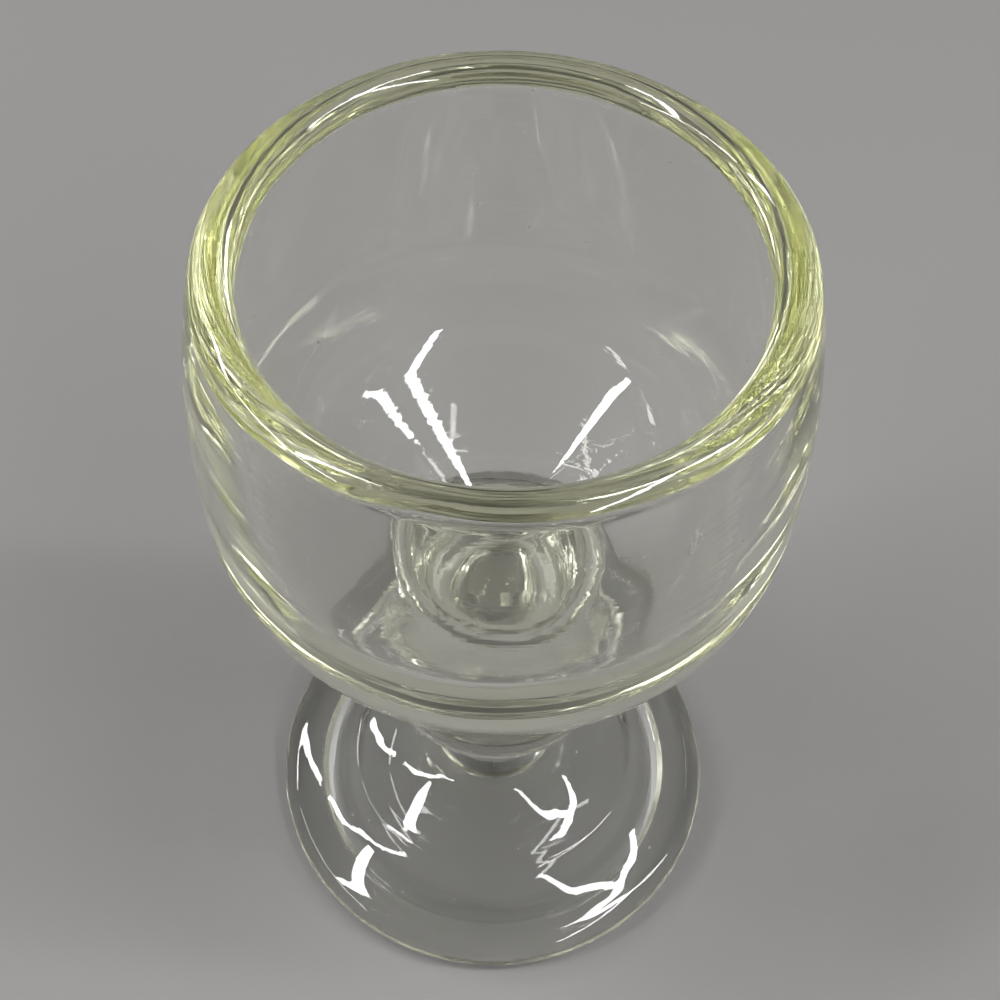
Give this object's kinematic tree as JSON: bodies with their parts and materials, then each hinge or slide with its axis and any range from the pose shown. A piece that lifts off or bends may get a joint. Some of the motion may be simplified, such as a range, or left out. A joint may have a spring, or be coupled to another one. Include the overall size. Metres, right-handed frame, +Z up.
{
  "type": "beer chalice",
  "caption": "Footed beer chalice in thick clear glass: a deep round bowl with a beaded lip, a short swelling stem and a stepped round foot that stands on a ring.",
  "frame": {"origin": "centre of the foot on the surface that the glass stands on", "axes": "+Z up along the axis of revolution, from the foot to the lip; +X and +Y are free because the glass is round"},
  "size_m": [0.0926, 0.0926, 0.16],
  "materials": {
    "clear_glass": "fire-polished soda-lime glass with a faint yellow-green tint where it is thick"
  },
  "bodies": {
    "root": {"bowl": "clear_glass", "stem": "clear_glass", "foot": "clear_glass"}
  },
  "joints": []
}
